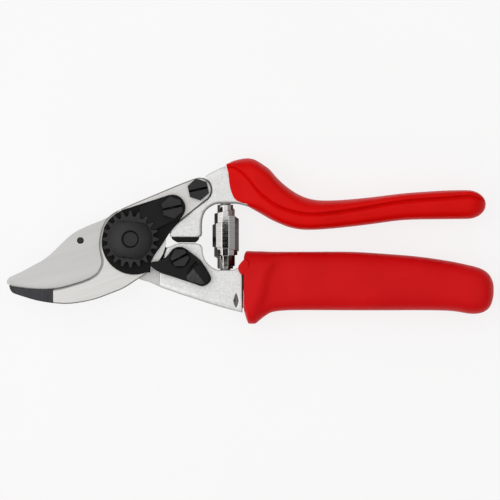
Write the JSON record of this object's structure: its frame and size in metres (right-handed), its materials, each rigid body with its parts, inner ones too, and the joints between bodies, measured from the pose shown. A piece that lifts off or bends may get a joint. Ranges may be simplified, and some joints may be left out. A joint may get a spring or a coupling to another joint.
{
  "type": "pruning shears",
  "caption": "Bypass pruning shears with a curved cutting blade, a hooked counter blade, a thumb catch, a volute spring, a coated upper handle and a revolving lower grip.",
  "frame": {"origin": "pivot axis where it meets the surface that the shears lie on, which is the outer face of the pivot bolt's head", "axes": "+Z along the pivot axis from the bolt's head to its nut, +X from the pivot towards the grips, +Y from the lower handle to the upper one"},
  "size_m": [0.1997, 0.068, 0.023],
  "materials": {
    "forged_aluminium": "tumbled and lightly bead-blasted",
    "blade_steel": "finely ground, slightly grey",
    "counter_blade_steel": "finely ground satin",
    "black_steel": "black oxide, satin",
    "black_plate": "black coating, satin",
    "catch_plastic": "matt moulded",
    "red_vinyl": "soft dipped vinyl, semi-gloss",
    "spring_steel": "bright nickel plated",
    "plain_steel": "zinc plated",
    "black_rubber": "matt moulded",
    "core_plastic": "glass-filled nylon",
    "bushing_plastic": "natural acetal"
  },
  "bodies": {
    "lower_frame": {"lower_handle": "forged_aluminium", "cutting_blade": "blade_steel", "blade_rivets": "plain_steel", "blade_stud": "black_steel", "catch_bolt": "black_steel", "catch_washer": "plain_steel", "volute_spring": "spring_steel", "grip_axle": "plain_steel", "thrust_washer": "black_rubber", "retaining_washer": "plain_steel", "retaining_screw": "plain_steel"},
    "upper_frame": {"upper_handle": "forged_aluminium", "upper_coating": "red_vinyl", "anvil_blade": "counter_blade_steel", "tang_bolt": "black_steel", "segment_bolt": "black_steel", "toothed_segment": "black_steel", "locking_plate": "black_plate", "toothed_nut": "black_steel", "pivot_bolt": "black_steel", "pivot_washer": "plain_steel", "bumper": "black_rubber"},
    "catch": {"catch_lever": "catch_plastic"},
    "grip": {"grip_core": "core_plastic", "grip_sleeve": "red_vinyl", "front_bushing": "bushing_plastic", "rear_bushing": "bushing_plastic"}
  },
  "joints": [
    {"name": "main_pivot", "type": "hinge", "parent": "lower_frame", "child": "upper_frame", "pos_m": [0, 0, 0.01], "axis": [0, 0, 1], "range_deg": [0, 32], "deforming": ["volute_spring"]},
    {"name": "catch_pivot", "type": "hinge", "parent": "lower_frame", "child": "catch", "pos_m": [0.0201, -0.0076, 0.018], "axis": [0, 0, 1], "range_deg": [0, 20]},
    {"name": "grip_swivel", "type": "hinge", "parent": "lower_frame", "child": "grip", "pos_m": [0.09, -0.0175, 0.01], "axis": [1, 0, 0], "range_deg": [0, 40]}
  ]
}
